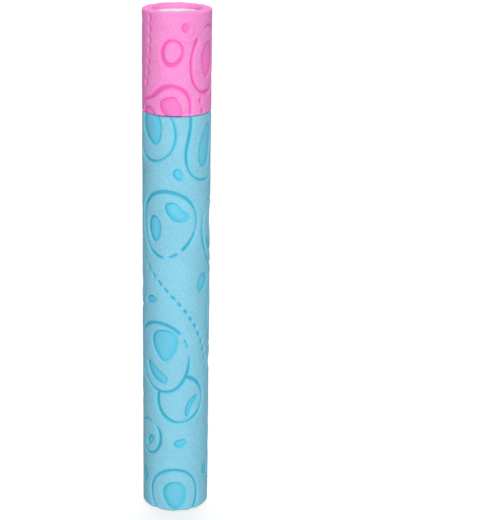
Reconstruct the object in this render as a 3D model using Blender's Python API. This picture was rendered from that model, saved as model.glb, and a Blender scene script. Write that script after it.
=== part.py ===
"""Foam-sleeved water squirter: a tube pump standing on its nozzle end, with its handle up.

Metres, +Z up, origin in the middle of the bottom end. The plunger is modelled pushed home.
It slides out along +Z, and turns freely about the same axis.
"""

import math

import bmesh
import bpy
import numpy as np
from mathutils import Matrix
from mathutils.geometry import delaunay_2d_cdt

MM = 0.001

# Driving sizes of the foam sleeves
FOAM_WALL = 5.6 * MM
BODY_FOAM_LENGTH = 247.0 * MM
HANDLE_FOAM_LENGTH = 58.7 * MM
FOAM_EDGE_RADIUS = 1.1 * MM
SEAM_WIDTH = 1.4 * MM
SEAM_DEPTH = 0.9 * MM

# Pattern that is pressed into the foam
PRESS_DEPTH = 1.0 * MM
PRESS_WALL = 0.5 * MM
GROOVE_WIDTH = 2.6 * MM
SPRING_BACK = 0.5
SPRING_START = 1.2 * MM
SPRING_END = 5.0 * MM
BEAN_FULLNESS = 0.62

# Driving sizes of the tube stock
BARREL_BORE = 25.2 * MM
TUBE_WALL = 1.5 * MM
ROD_DIAMETER = 14.0 * MM
ROD_WALL = 1.4 * MM
ROD_EDGE = 0.4 * MM

# Nozzle plug, sunk into the bottom end
NOZZLE_RECESS = 5.0 * MM
NOZZLE_FLANGE = 2.4 * MM
NOZZLE_SPIGOT = 9.0 * MM
NOZZLE_BORE = 3.6 * MM
NOZZLE_TIP_DIAMETER = 7.4 * MM
NOZZLE_ROOT_DIAMETER = 10.6 * MM
NOZZLE_LENGTH = 3.6 * MM
NOZZLE_TIP_EDGE = 0.5 * MM
NOZZLE_RIBS = 6
NOZZLE_RIB_HEIGHT = 1.5 * MM

# Piston and its seal ring
PISTON_LAND = 2.3 * MM
SEAL_SECTION = 2.0 * MM
SEAL_SIDE_PLAY = 0.3 * MM
PISTON_SPIGOT = 12.0 * MM
PISTON_CORE_WALL = 2.0 * MM
PISTON_CORE_DEPTH = 4.4 * MM

# Guide collar that closes the upper end of the barrel
COLLAR_RECESS = 1.6 * MM
COLLAR_FLANGE = 2.4 * MM
COLLAR_SKIRT = 14.0 * MM
COLLAR_GUIDE = 11.5 * MM
COLLAR_RIBS = 6
SNAP_LUGS = 3
SNAP_WIDTH = 6.0 * MM
SNAP_HEIGHT = 3.0 * MM
SNAP_RISE = 0.9 * MM
SNAP_DROP = 5.0 * MM

# Handle fittings
BASE_PLUG_RECESS = 1.4 * MM
END_CAP_RECESS = 2.6 * MM
HANDLE_FLANGE = 2.2 * MM
HANDLE_SPIGOT = 8.0 * MM
HUB_LENGTH = 14.0 * MM
HUB_RIBS = 4
COLLET_SLOTS = 4
COLLET_SLOT_ANGLE = math.radians(38)
COLLET_TURN = math.radians(33)
COLLET_SLOT_MARGIN = 0.9 * MM
COLLET_LENGTH = 10.0 * MM
ROD_PROUD = 0.7 * MM
STOPPER_LENGTH = 7.0 * MM
STOPPER_SINK = 1.0 * MM
STOPPER_DISH = 0.6 * MM
STOPPER_RIM = 1.2 * MM

# Moulded walls and lead-in chamfers
MOULDED_WALL = 1.2 * MM
LEAD_IN = 0.6 * MM

# Clearances
SLEEVE_FIT = 0.3 * MM
PRESS_FIT = 0.2 * MM
SEAT_GAP = 0.2 * MM
RUNNING_FIT = 0.3 * MM
SEAL_FIT = 0.12 * MM
HOME_GAP = 0.3 * MM
PISTON_HOME_GAP = 0.5 * MM

# Facets
SIDES = 40
SEAL_SIDES = 10
EDGE_STEPS = 3
RIM_STEPS = 2
SWEEP_ORDER = 4
SWEEP_STEPS = 4
LINE_STEP = 5.6 * MM
FEWEST_POINTS = 11
SKIN_COLUMNS = 22
SKIN_MARGIN = 1.6 * MM
DRAWING_ERROR = 0.02 * MM
WHOLE_SHEET = 0
WELD = 0.001 * MM
CUT_MARGIN = 1.0 * MM
SMOOTH_ANGLE = math.radians(35)

# Radii that follow from the sizes above
bore_radius = BARREL_BORE / 2
tube_radius = bore_radius + TUBE_WALL
foam_bore_radius = tube_radius + SLEEVE_FIT
foam_radius = foam_bore_radius + FOAM_WALL
spigot_radius = bore_radius - PRESS_FIT
rod_radius = ROD_DIAMETER / 2
rod_bore_radius = rod_radius - ROD_WALL
rod_plug_radius = rod_bore_radius - PRESS_FIT
guide_radius = rod_radius + RUNNING_FIT
hub_radius = rod_radius + PRESS_FIT
hub_outer_radius = hub_radius + MOULDED_WALL
piston_radius = bore_radius - RUNNING_FIT
seal_outer_radius = bore_radius - SEAL_FIT
groove_radius = seal_outer_radius - SEAL_SECTION - SEAL_FIT
groove_width = SEAL_SECTION + 2 * SEAL_SIDE_PLAY
piston_length = 2 * PISTON_LAND + groove_width

# Heights that follow from the sizes above, bottom end upwards
nozzle_seat = NOZZLE_RECESS + NOZZLE_FLANGE
piston_front = nozzle_seat + NOZZLE_SPIGOT + PISTON_HOME_GAP
rod_foot = piston_front + piston_length + SEAT_GAP
barrel_foot = nozzle_seat + SEAT_GAP
collar_seat = BODY_FOAM_LENGTH - COLLAR_RECESS - COLLAR_FLANGE
barrel_length = collar_seat - SEAT_GAP - barrel_foot
handle_foot = BODY_FOAM_LENGTH + HOME_GAP
handle_top = handle_foot + HANDLE_FOAM_LENGTH
base_plug_foot = handle_foot + BASE_PLUG_RECESS
cap_seat = handle_top - END_CAP_RECESS - HANDLE_FLANGE
handle_tube_foot = base_plug_foot + HANDLE_FLANGE + SEAT_GAP
handle_tube_length = cap_seat - SEAT_GAP - handle_tube_foot
rod_top = cap_seat + HANDLE_FLANGE + ROD_PROUD
rod_length = rod_top - rod_foot

# Flat sheet that a sleeve is rolled from
sheet_width = math.tau * foam_radius
cut_face = FOAM_WALL - FOAM_EDGE_RADIUS

# The foam's pattern is drawn in millimetres from the lower left corner of the flat sheet. Its sides
# meet in the seam at the back, so the middle of the front is half a sheet in from the left.
# Hollow of a bubble: middle, width and length as shares of the bubble's, then turn, egg and curl
YOLK = [(0.02, 0.0, 0.5, 0.54, 0, 0.18, 0)]
TWIN = [(0.13, 0.17, 0.46, 0.46, -14, 0.2, 0), (-0.17, -0.2, 0.19, 0.42, 36, -0.12, 50)]
MOON = [(-0.24, 0.02, 0.15, 0.54, 0, -0.08, -80)]
BUD = [(0.1, -0.08, 0.24, 0.4, -35, 0.16, 60)]
PAIR = [(0.12, 0.2, 0.25, 0.42, 68, 0.22, 95), (-0.2, -0.12, 0.26, 0.4, 18, 0.15, 0)]
EMPTY = []

# Bubble: middle, width, length, turn, egg, direction and width of the gap in its loop, hollows
BODY_BUBBLES = [
    (46, 240, 30, 40, 18, -0.12, 0, 0, YOLK),
    (57, 183, 36, 40, -14, 0.1, 300, 46, PAIR),
    (92, 175, 22, 42, 8, 0.08, 120, 34, TWIN),
    (53, 100, 37, 44, 16, 0.1, 12, 46, TWIN),
    (66, 74, 30, 30, 150, 0.0, -31, 84, MOON),
    (43, 47, 20, 22, -10, 0.0, 70, 34, BUD),
    (62, 10, 31, 35, 8, 0.08, 0, 0, YOLK),
    (102, 118, 22, 34, -12, -0.15, 0, 0, YOLK),
    (27, 142, 23, 30, 10, 0.1, 150, 34, BUD),
    (11, 212, 30, 38, -15, 0.1, 40, 46, TWIN),
    (113, 224, 20, 22, 0, 0.0, 200, 34, MOON),
    (119, 158, 24, 30, 15, 0.1, 0, 0, YOLK),
    (9, 166, 20, 22, 0, 0.0, 100, 34, BUD),
    (13, 108, 32, 40, -10, 0.12, 300, 46, PAIR),
    (115, 74, 28, 38, 12, 0.1, 160, 46, TWIN),
    (12, 56, 25, 32, 10, -0.1, 0, 0, YOLK),
    (112, 25, 24, 28, 0, 0.0, 250, 34, MOON),
    (11, 12, 28, 34, -12, 0.1, 60, 34, TWIN),
]
HANDLE_BUBBLES = [
    (60, 36, 12, 14, -20, 0.14, 0, 0, EMPTY),
    (84, 31, 25, 38, -8, 0.0, 130, 34, YOLK),
    (17, 31, 27, 36, 12, 0.1, 40, 34, TWIN),
    (114, 38, 19, 22, 0, 0.0, 110, 34, MOON),
]

# Lone hollow: middle, width, length, turn, egg, curl
BODY_DROPS = [
    (83, 229, 11, 26, -14, 0.0, 30),
    (81, 146, 9, 12, -25, 0.25, 0),
    (38, 19, 8, 12, -15, 0.2, 0),
    (114, 200, 7, 9, 20, 0.2, 0),
    (19, 81, 9, 6, 15, 0.0, 0),
    (96, 54, 7, 9, -15, 0.2, 0),
]
HANDLE_DROPS = [
    (60, 4, 12, 15, 40, 0.25, 40),
    (44, 0, 11, 9, -10, 0.0, 0),
    (106, 10, 9, 13, 30, 0.2, 0),
]

# Loose line: the points that it sweeps along
BODY_STROKES = [
    [(71, 252), (73, 240), (67, 228), (70, 212), (82, 207), (94, 211), (99, 226), (94, 240), (96, 252)],
    [(100, 154), (93, 147), (88, 137), (86, 127), (86, 117)],
    [(96, 43), (91, 34), (96, 20), (93, 8), (96, -5)],
    [(37, 212), (32, 204), (35, 195)],
    [(29, 62), (30, 48), (27, 36), (30, 20), (28, 8), (30, -5)],
]
HANDLE_STROKES = [
    [(33, -4), (36, 8), (46, 8), (53, 17), (64, 18), (72, 11), (71, 2)],
]


def clear_scene():
    for old in list(bpy.data.objects):
        bpy.data.objects.remove(old, do_unlink=True)


def plain_material(name, colour, roughness):
    """A Principled material with one colour, given in linear RGB."""
    material = bpy.data.materials.new(name)
    material.use_nodes = True
    shader = material.node_tree.nodes["Principled BSDF"]
    shader.inputs["Base Color"].default_value = (*colour, 1.0)
    shader.inputs["Roughness"].default_value = roughness
    shader.inputs["Metallic"].default_value = 0.0
    return material


def object_from(bm, name, material=None):
    """A named object that holds the mesh. Without a material it is a hidden helper."""
    mesh = bpy.data.meshes.new(name)
    bm.to_mesh(mesh)
    bm.free()
    made = bpy.data.objects.new(name, mesh)
    bpy.context.scene.collection.objects.link(made)
    if material is None:
        made.hide_render = True
        made.display_type = "WIRE"
    else:
        mesh.materials.append(material)
        mesh.shade_smooth()
        mesh.set_sharp_from_angle(angle=SMOOTH_ANGLE)
    return made


def turned(name, section, material):
    """A solid turned about Z from a closed section of (radius, height) points."""
    bm = bmesh.new()
    verts = [bm.verts.new((radius, 0, height)) for radius, height in section]
    edges = []
    for first, second in zip(verts, verts[1:] + verts[:1]):
        if first.co.x > 0 or second.co.x > 0:
            edges.append(bm.edges.new((first, second)))
    bmesh.ops.spin(
        bm,
        geom=verts + edges,
        cent=(0, 0, 0),
        axis=(0, 0, 1),
        angle=math.tau,
        steps=SIDES,
        use_merge=True,
    )
    bmesh.ops.remove_doubles(bm, verts=bm.verts, dist=WELD)
    bmesh.ops.recalc_face_normals(bm, faces=bm.faces)
    return object_from(bm, name, material)


def prism(bm, outline, bottom, top, turn=0.0):
    """Adds an upright prism over an outline of (x, y) points, turned about Z."""
    base = bm.faces.new([bm.verts.new((x, y, bottom)) for x, y in outline])
    raised = bmesh.ops.extrude_face_region(bm, geom=[base])["geom"]
    upper = [item for item in raised if isinstance(item, bmesh.types.BMVert)]
    bmesh.ops.translate(bm, verts=upper, vec=(0, 0, top - bottom))
    both = upper + list(base.verts)
    bmesh.ops.rotate(bm, verts=both, cent=(0, 0, 0), matrix=Matrix.Rotation(turn, 3, "Z"))


def blades(name, count, inner, outer, width, bottom, top):
    """A ring of radial blocks: ribs, lugs or the cutters of windows."""
    half = width / 2
    outline = [(inner, -half), (outer, -half), (outer, half), (inner, half)]
    bm = bmesh.new()
    for number in range(count):
        prism(bm, outline, bottom, top, math.tau * number / count)
    bmesh.ops.recalc_face_normals(bm, faces=bm.faces)
    return object_from(bm, name)


def ring_sectors(name, count, inner, outer, width, bottom, top, turn):
    """A ring of curved blocks, each as wide as the angle given: the cutters of curved slots."""
    angles = [width * (step / EDGE_STEPS - 0.5) for step in range(EDGE_STEPS + 1)]
    outline = [(outer * math.cos(a), outer * math.sin(a)) for a in angles]
    outline += [(inner * math.cos(a), inner * math.sin(a)) for a in reversed(angles)]
    bm = bmesh.new()
    for number in range(count):
        prism(bm, outline, bottom, top, turn + math.tau * number / count)
    bmesh.ops.recalc_face_normals(bm, faces=bm.faces)
    return object_from(bm, name)


def combine(made, helper, operation):
    """Joins a helper to a piece, or cuts it out, and keeps the helper with the piece."""
    modifier = made.modifiers.new(helper.name, "BOOLEAN")
    modifier.operation = operation
    modifier.solver = "EXACT"
    modifier.object = helper
    helper.parent = made


def set_down(x, y, u, v, turn):
    """A point of a shape, once the shape is turned and set down on the sheet."""
    c, s = math.cos(math.radians(turn)), math.sin(math.radians(turn))
    return u + x * c - y * s, v + x * s + y * c


def oval(u, v, width, length, turn, egg=0.0, curl=0, gap_at=0, gap=0):
    """Outline of an oval, in metres. Egg fills out its upper end, curl bends it and gap leaves it open."""
    steps = max(FEWEST_POINTS, round(math.pi * (width + length) / 2 * MM / LINE_STEP))
    points = []
    for step in range(steps + (gap > 0)):
        angle = math.radians(gap_at + gap / 2 + (360 - gap) * step / steps)
        across = math.cos(angle)
        if curl:
            across = math.copysign(abs(across) ** BEAN_FULLNESS, across)
        x = across * (1 + egg * math.sin(angle)) * width / 2
        y = math.sin(angle) * length / 2
        if curl:
            bend = length / math.radians(curl)
            x, y = bend - (bend - x) * math.cos(y / bend), (bend - x) * math.sin(y / bend)
        points.append(set_down(x, y, u, v, turn))
    return np.array(points) * MM


def swept(points):
    """A smooth line along hand-set points, in metres."""
    curve = bpy.data.curves.new("sweep", "CURVE")
    curve.dimensions = "3D"
    spline = curve.splines.new("NURBS")
    spline.points.add(len(points) - 1)
    for place, (u, v) in zip(spline.points, points):
        place.co = (u, v, 0, 1)
    spline.order_u = min(SWEEP_ORDER, len(points))
    spline.use_endpoint_u = True
    spline.resolution_u = SWEEP_STEPS
    pen = bpy.data.objects.new("sweep", curve)
    line = np.array([vert.co.xy for vert in pen.to_mesh().vertices]) * MM
    bpy.data.objects.remove(pen)
    return line


def drawn_pattern(bubbles, drops, strokes):
    """Grooves, each a line and whether it closes on itself, and the outlines of hollows."""
    grooves = [(swept(stroke), False) for stroke in strokes]
    hollows = [oval(*drop) for drop in drops]
    for u, v, width, length, turn, egg, gap_at, gap, filling in bubbles:
        grooves.append((oval(u, v, width, length, turn, egg, 0, gap_at, gap), gap == 0))
        for x, y, wide, long, tilt, fill, curl in filling:
            middle = set_down(x * width, y * length, u, v, turn)
            hollows.append(oval(*middle, wide * width, long * length, turn + tilt, fill, curl))
    return grooves, hollows


def beside(line, closed, distance):
    """A line moved sideways, to its left for a positive distance."""
    if closed:
        along = np.roll(line, -1, axis=0) - np.roll(line, 1, axis=0)
    else:
        along = np.gradient(line, axis=0)
    along /= np.linalg.norm(along, axis=1)[:, None]
    return line + distance * np.column_stack([-along[:, 1], along[:, 0]])


def crease_lines(grooves, hollows):
    """Lines that the pressed skin bends along, each with whether it closes on itself."""
    half = GROOVE_WIDTH / 2
    creases = []
    for line, closed in grooves:
        left, right = beside(line, closed, half), beside(line, closed, -half)
        creases.append((line, closed))
        if closed:
            creases += [(left, True), (right, True)]
        else:
            start = line[0] + half * (line[0] - line[1]) / np.linalg.norm(line[0] - line[1])
            end = line[-1] + half * (line[-1] - line[-2]) / np.linalg.norm(line[-1] - line[-2])
            creases.append((np.vstack([left, end, right[::-1], start]), True))
    for outline in hollows:
        creases += [(outline, True), (beside(outline, True, PRESS_WALL), True)]
    return creases


def segments_of(line, closed):
    """Start and end points of the straight pieces of a line."""
    if closed:
        return line, np.roll(line, -1, axis=0)
    return line[:-1], line[1:]


def distance_to(line, closed, places):
    """How far each place is from a line."""
    starts, ends = segments_of(line, closed)
    along = ends - starts
    offsets = places[:, None] - starts
    shares = np.clip((offsets * along).sum(2) / (along ** 2).sum(1), 0, 1)
    return np.linalg.norm(offsets - shares[:, :, None] * along, axis=2).min(1)


def inside(outline, places):
    """Which places lie inside a closed outline, by counting the edges to their right."""
    starts, ends = segments_of(outline, True)
    x, y = places[:, :1], places[:, 1:]
    passes = (starts[:, 1] > y) != (ends[:, 1] > y)
    run, rise = (ends - starts).T
    slope = run / np.where(rise == 0, 1, rise)
    return (passes & (x < starts[:, 0] + (y - starts[:, 1]) * slope)).sum(1) % 2 == 1


def pressed_depth(places, grooves, hollows):
    """Depth of the pattern at each place: V-shaped grooves, and hollows that spring back in the middle."""
    depth = np.zeros(len(places))
    half = GROOVE_WIDTH / 2
    for line, closed in grooves:
        within = half - distance_to(line, closed, places)
        depth = np.maximum(depth, np.clip(within / half, 0, 1))
    for outline in hollows:
        within = np.where(inside(outline, places), distance_to(outline, True, places), 0)
        spring = np.clip((within - SPRING_START) / (SPRING_END - SPRING_START), 0, 1)
        depth = np.maximum(depth, np.clip(within / PRESS_WALL, 0, 1) * (1 - SPRING_BACK * spring))
    return PRESS_DEPTH * depth


def clipped(start, end, length):
    """The stretch of a straight piece that lies on the sheet, or None."""
    low, high = 0.0, 1.0
    for axis, limit in ((0, sheet_width), (1, length)):
        way = end[axis] - start[axis]
        if abs(way) < WELD:
            if not 0 < start[axis] < limit:
                return None
            continue
        first, second = sorted(((0 - start[axis]) / way, (limit - start[axis]) / way))
        low, high = max(low, first), min(high, second)
    if low >= high:
        return None
    piece = start + np.outer((low, high), end - start)
    for limit in ((0, 0), (sheet_width, length)):
        piece = np.where(np.abs(piece - limit) < WELD, limit, piece)
    return piece


def flat_sheet(length, creases):
    """Points and triangles of the flat sheet, with its two cut faces folded out above and below it."""
    points, edges = [], []

    def add_line(line):
        edges.extend((number, number + 1) for number in range(len(points), len(points) + len(line) - 1))
        points.extend(line)

    crossings = set()
    for line, closed in creases:
        for start, end in zip(*segments_of(line, closed)):
            piece = clipped(start, end, length)
            if piece is not None:
                add_line(piece)
                crossings.update(v for u, v in piece if u in (0, sheet_width))
    angles = [math.pi / 2 * step / RIM_STEPS for step in range(RIM_STEPS + 1)]
    rounding = [FOAM_EDGE_RADIUS * (1 - math.cos(angle)) for angle in angles]
    rows = [-cut_face, *rounding, *(length - height for height in rounding), length + cut_face]
    for height in rows:
        add_line([(sheet_width * side / SIDES, height) for side in range(SIDES + 1)])
    skin_rows = round(length / LINE_STEP)
    heights = [length * row / skin_rows for row in range(skin_rows + 1)]
    between = [height for height in heights[1:-1] if all(abs(height - v) > SKIN_MARGIN for v in crossings)]
    for side in (0, sheet_width):
        add_line([(side, height) for height in sorted({*rows, *crossings, *between})])
    for crease in (SEAM_WIDTH / 2, sheet_width - SEAM_WIDTH / 2):
        add_line([(crease, height) for height in heights[::2]])

    skin = [
        (sheet_width * (column + (row % 2) / 2) / SKIN_COLUMNS, heights[row])
        for row in range(1, skin_rows)
        for column in range(1, SKIN_COLUMNS - row % 2)
    ]
    skin = np.array(skin)
    nearest = np.min([distance_to(line, closed, skin) for line, closed in creases], axis=0)
    points.extend(skin[nearest > SKIN_MARGIN])
    flat = [tuple(point) for point in points]
    places, _, faces, *_ = delaunay_2d_cdt(flat, edges, [], WHOLE_SHEET, DRAWING_ERROR)
    return np.array(places), faces


def foam_sleeve(name, length, pattern, material):
    """A foam tube: a flat sheet is pressed with the pattern, rolled up and welded along the back."""
    grooves, hollows = pattern
    places, faces = flat_sheet(length, crease_lines(grooves, hollows))
    u, v = places[:, 0], places[:, 1]
    from_seam = np.minimum(u, sheet_width - u)
    from_end = np.minimum(v, length - v)
    seam = SEAM_DEPTH * np.clip(1 - from_seam / (SEAM_WIDTH / 2), 0, 1)
    depth = np.maximum(pressed_depth(places, grooves, hollows), seam)
    depth = np.where(from_seam < WELD, SEAM_DEPTH, depth)
    depth = np.where(from_end < 0, 0, depth)
    edge = FOAM_EDGE_RADIUS
    into_round = np.clip(edge - from_end, 0, edge)
    rounded = edge - np.sqrt(edge ** 2 - into_round ** 2)
    radius = foam_radius - np.maximum(depth, rounded) + np.minimum(from_end, 0)
    height = np.clip(v, 0, length)
    turn = math.pi / 2 + u / foam_radius

    bm = bmesh.new()
    rolled = np.column_stack([radius * np.cos(turn), radius * np.sin(turn), height])
    verts = [bm.verts.new(place) for place in rolled]
    for face in faces:
        bm.faces.new([verts[number] for number in face])
    bore = [
        [bm.verts.new((foam_bore_radius * math.cos(turn), foam_bore_radius * math.sin(turn), end))
         for turn in (math.pi / 2 + math.tau * side / SIDES for side in range(SIDES))]
        for end in (0, length)
    ]
    for side in range(SIDES):
        after = (side + 1) % SIDES
        bm.faces.new((bore[0][side], bore[1][side], bore[1][after], bore[0][after]))
    bmesh.ops.remove_doubles(bm, verts=bm.verts, dist=WELD)
    bmesh.ops.recalc_face_normals(bm, faces=bm.faces)
    return object_from(bm, name, material)


def tube(name, outer, inner, length, material):
    section = [(outer, length), (outer, 0), (inner, 0), (inner, length)]
    return turned(name, section, material)


def barrel_tube(material):
    """The water cylinder, with the windows that the collar's lugs snap into."""
    barrel = tube("barrel_tube", tube_radius, bore_radius, barrel_length, material)
    top = barrel_length + SEAT_GAP - SNAP_DROP
    windows = blades(
        "barrel_windows",
        SNAP_LUGS,
        bore_radius - CUT_MARGIN,
        tube_radius + CUT_MARGIN,
        SNAP_WIDTH,
        top - SNAP_HEIGHT,
        top,
    )
    combine(barrel, windows, "DIFFERENCE")
    return barrel


def nozzle_plug(material):
    """Pressed into the bottom of the barrel: a ribbed flange with the nozzle in its middle."""
    seat = NOZZLE_FLANGE
    top = seat + NOZZLE_SPIGOT
    cup = spigot_radius - MOULDED_WALL
    tip = NOZZLE_TIP_DIAMETER / 2
    root = NOZZLE_ROOT_DIAMETER / 2
    hole = NOZZLE_BORE / 2
    section = [
        (spigot_radius - LEAD_IN, top),
        (spigot_radius, top - LEAD_IN),
        (spigot_radius, seat),
        (tube_radius, seat),
        (tube_radius, 0),
        (root, 0),
        (tip, NOZZLE_TIP_EDGE - NOZZLE_LENGTH),
        (tip - NOZZLE_TIP_EDGE, -NOZZLE_LENGTH),
        (hole, -NOZZLE_LENGTH),
        (hole, 0),
        (root, seat),
        (cup, seat),
        (cup, top),
    ]
    plug = turned("nozzle_plug", section, material)
    inner = (root + tip) / 2 - NOZZLE_TIP_EDGE
    outer = tube_radius - MOULDED_WALL
    ribs = blades(
        "nozzle_ribs", NOZZLE_RIBS, inner, outer, MOULDED_WALL, -NOZZLE_RIB_HEIGHT, seat / 2
    )
    combine(plug, ribs, "UNION")
    return plug


def guide_collar(material):
    """Snaps into the top of the barrel, guides the rod and stops the piston."""
    skirt = spigot_radius
    guide_outer = guide_radius + MOULDED_WALL
    section = [
        (tube_radius, COLLAR_FLANGE),
        (tube_radius, 0),
        (skirt, 0),
        (skirt, -COLLAR_SKIRT),
        (skirt - MOULDED_WALL, -COLLAR_SKIRT),
        (skirt - MOULDED_WALL, 0),
        (guide_outer, 0),
        (guide_outer, -COLLAR_GUIDE),
        (guide_radius, -COLLAR_GUIDE),
        (guide_radius, COLLAR_FLANGE - LEAD_IN),
        (guide_radius + LEAD_IN, COLLAR_FLANGE),
    ]
    collar = turned("guide_collar", section, material)
    ribs = blades(
        "collar_ribs",
        COLLAR_RIBS,
        guide_outer - MOULDED_WALL / 2,
        skirt - MOULDED_WALL / 2,
        MOULDED_WALL,
        -COLLAR_GUIDE,
        COLLAR_FLANGE / 2,
    )
    combine(collar, ribs, "UNION")
    lugs = blades(
        "collar_lugs",
        SNAP_LUGS,
        skirt - MOULDED_WALL / 2,
        bore_radius + SNAP_RISE,
        SNAP_WIDTH - 2 * RUNNING_FIT,
        RUNNING_FIT - SNAP_DROP - SNAP_HEIGHT,
        -RUNNING_FIT - SNAP_DROP,
    )
    combine(collar, lugs, "UNION")
    return collar


def piston_head(material):
    """Two lands with the seal's groove between them, and a spigot that plugs the rod."""
    rear = piston_length
    end = rear + PISTON_SPIGOT
    core = groove_radius - PISTON_CORE_WALL
    section = [
        (0, end),
        (rod_plug_radius - LEAD_IN, end),
        (rod_plug_radius, end - LEAD_IN),
        (rod_plug_radius, rear),
        (piston_radius, rear),
        (piston_radius, rear - PISTON_LAND),
        (groove_radius, rear - PISTON_LAND),
        (groove_radius, PISTON_LAND),
        (piston_radius, PISTON_LAND),
        (piston_radius, 0),
        (core, 0),
        (core - LEAD_IN, PISTON_CORE_DEPTH),
        (0, PISTON_CORE_DEPTH),
    ]
    return turned("piston_head", section, material)


def piston_seal(material):
    """A rubber ring of round section, about the height of the middle of its groove."""
    radius = SEAL_SECTION / 2
    middle = seal_outer_radius - radius
    angles = [-math.tau * step / SEAL_SIDES for step in range(SEAL_SIDES)]
    section = [(middle + radius * math.cos(a), radius * math.sin(a)) for a in angles]
    return turned("piston_seal", section, material)


def plunger_rod(material):
    section = [
        (rod_radius - ROD_EDGE, rod_length),
        (rod_radius, rod_length - ROD_EDGE),
        (rod_radius, 0),
        (rod_bore_radius, 0),
        (rod_bore_radius, rod_length),
    ]
    return turned("plunger_rod", section, material)


def rod_stopper(material):
    """Closes the top of the rod, below its rim, with a shallow dish in its face."""
    dish = rod_plug_radius - STOPPER_RIM
    section = [
        (0, -STOPPER_DISH),
        (dish - STOPPER_DISH, -STOPPER_DISH),
        (dish, 0),
        (rod_plug_radius, 0),
        (rod_plug_radius, LEAD_IN - STOPPER_LENGTH),
        (rod_plug_radius - LEAD_IN, -STOPPER_LENGTH),
        (0, -STOPPER_LENGTH),
    ]
    return turned("rod_stopper", section, material)


def handle_base_plug(material):
    """Lower end of the handle: a flange, a spigot in the handle tube and a hub on the rod."""
    seat = HANDLE_FLANGE
    top = seat + HANDLE_SPIGOT
    cup = spigot_radius - MOULDED_WALL
    section = [
        (spigot_radius - LEAD_IN, top),
        (spigot_radius, top - LEAD_IN),
        (spigot_radius, seat),
        (tube_radius, seat),
        (tube_radius, 0),
        (hub_radius, 0),
        (hub_radius, HUB_LENGTH),
        (hub_outer_radius, HUB_LENGTH),
        (hub_outer_radius, seat),
        (cup, seat),
        (cup, top),
    ]
    plug = turned("handle_base_plug", section, material)
    ribs = blades(
        "base_plug_ribs",
        HUB_RIBS,
        hub_outer_radius - MOULDED_WALL / 2,
        spigot_radius - MOULDED_WALL / 2,
        MOULDED_WALL,
        seat / 2,
        top - LEAD_IN,
    )
    combine(plug, ribs, "UNION")
    return plug


def handle_end_cap(material):
    """Upper end of the handle: its hub is slotted into collet fingers that grip the rod."""
    cup = spigot_radius - MOULDED_WALL
    section = [
        (tube_radius - LEAD_IN, HANDLE_FLANGE),
        (tube_radius, HANDLE_FLANGE - LEAD_IN),
        (tube_radius, 0),
        (spigot_radius, 0),
        (spigot_radius, -HANDLE_SPIGOT),
        (cup, -HANDLE_SPIGOT),
        (cup, 0),
        (hub_outer_radius, 0),
        (hub_outer_radius, -COLLET_LENGTH),
        (hub_radius, -COLLET_LENGTH),
        (hub_radius, HANDLE_FLANGE),
    ]
    cap = turned("handle_end_cap", section, material)
    slots = ring_sectors(
        "end_cap_slots",
        COLLET_SLOTS,
        hub_radius - CUT_MARGIN,
        hub_outer_radius + COLLET_SLOT_MARGIN,
        COLLET_SLOT_ANGLE,
        -COLLET_LENGTH - CUT_MARGIN,
        HANDLE_FLANGE + CUT_MARGIN,
        COLLET_TURN,
    )
    combine(cap, slots, "DIFFERENCE")
    return cap


def stand_at(made, height, parent=None):
    """Places a piece on the axis, at a height above the bottom end."""
    made.parent = parent
    made.location = (0, 0, height - (parent.location.z if parent else 0.0))


def build():
    clear_scene()
    blue_foam = plain_material("blue_foam", (0.28, 0.66, 0.83), 0.75)
    pink_foam = plain_material("pink_foam", (0.98, 0.35, 0.72), 0.75)
    white_plastic = plain_material("white_plastic", (0.82, 0.81, 0.84), 0.38)
    black_rubber = plain_material("black_rubber", (0.02, 0.02, 0.022), 0.6)

    body_pattern = drawn_pattern(BODY_BUBBLES, BODY_DROPS, BODY_STROKES)
    stand_at(foam_sleeve("body_foam", BODY_FOAM_LENGTH, body_pattern, blue_foam), 0)
    stand_at(nozzle_plug(white_plastic), NOZZLE_RECESS)
    stand_at(barrel_tube(white_plastic), barrel_foot)
    stand_at(guide_collar(white_plastic), collar_seat)

    plunger = bpy.data.objects.new("plunger", None)
    bpy.context.scene.collection.objects.link(plunger)
    plunger.location = (0, 0, handle_foot)
    stand_at(piston_seal(black_rubber), piston_front + piston_length / 2, plunger)
    stand_at(piston_head(white_plastic), piston_front, plunger)
    stand_at(plunger_rod(white_plastic), rod_foot, plunger)
    stand_at(handle_base_plug(white_plastic), base_plug_foot, plunger)
    stand_at(tube("handle_tube", tube_radius, bore_radius, handle_tube_length, white_plastic),
             handle_tube_foot, plunger)
    stand_at(handle_end_cap(white_plastic), cap_seat, plunger)
    stand_at(rod_stopper(white_plastic), rod_top - STOPPER_SINK, plunger)
    handle_pattern = drawn_pattern(HANDLE_BUBBLES, HANDLE_DROPS, HANDLE_STROKES)
    handle_foam = foam_sleeve("handle_foam", HANDLE_FOAM_LENGTH, handle_pattern, pink_foam)
    stand_at(handle_foam, handle_foot, plunger)


build()
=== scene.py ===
# %% [markdown]
# # A foam-sleeved water squirter
#
# The squirter is a tube pump in two thick foam sleeves: a long blue one round the barrel and a short
# pink one round the handle. The pump itself is hidden while the handle is pushed home. What the eye
# meets is the foam, pressed with loops, hollows and dashed lines, so most of this lesson is about
# making that foam the way a factory does: draw a die, press a flat sheet with it, roll the sheet up.

import math

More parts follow.
